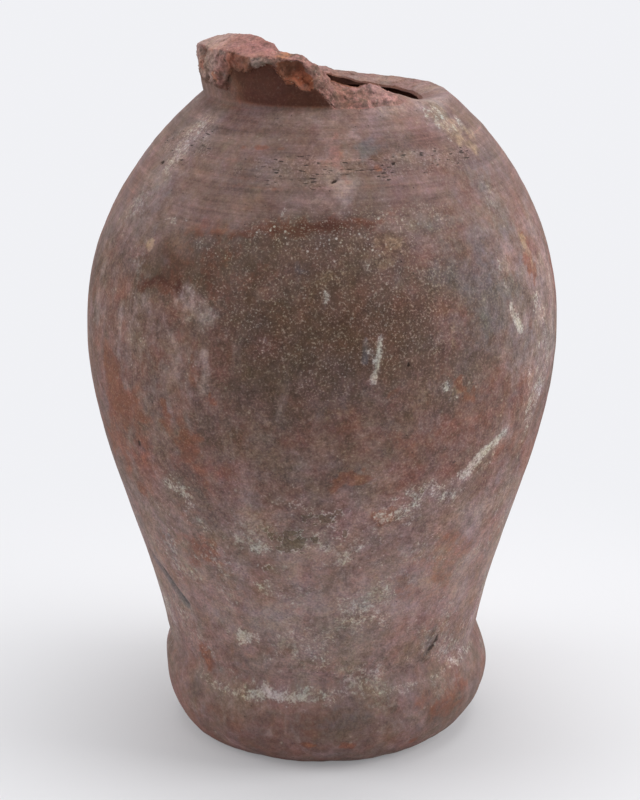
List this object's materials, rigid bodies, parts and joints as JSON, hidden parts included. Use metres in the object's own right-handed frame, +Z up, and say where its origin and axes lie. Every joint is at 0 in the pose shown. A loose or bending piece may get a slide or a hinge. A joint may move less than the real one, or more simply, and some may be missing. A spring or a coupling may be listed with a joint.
{
  "type": "earthenware storage jar",
  "caption": "Free-standing earthenware jar with a splayed foot, swelling belly and broken neck that keeps one piece of its thick collar; it held liquids or grain.",
  "frame": {"origin": "centre of the sole, on the ground under the middle of the belly", "axes": "+Z up along the jar's axis, -Y towards the viewer, +X to the viewer's right, so the piece of collar stands at -X -Y"},
  "size_m": [0.215, 0.215, 0.3309],
  "materials": {
    "fired_clay": "unglazed red-brown earthenware, grey-mauve weathered skin, speckled with pale grit, matte",
    "foot_clay": "unglazed grey-brown earthenware with pale lime crust, matte",
    "broken_clay": "rough pink-red fracture surface of fired earthenware, matte"
  },
  "bodies": {
    "root": {"base_slab": "fired_clay", "foot_roll": "foot_clay", "lower_wall": "fired_clay", "belly_wall": "fired_clay", "shoulder_wall": "fired_clay", "neck_stump": "broken_clay", "collar_fragment": "broken_clay"}
  },
  "joints": []
}
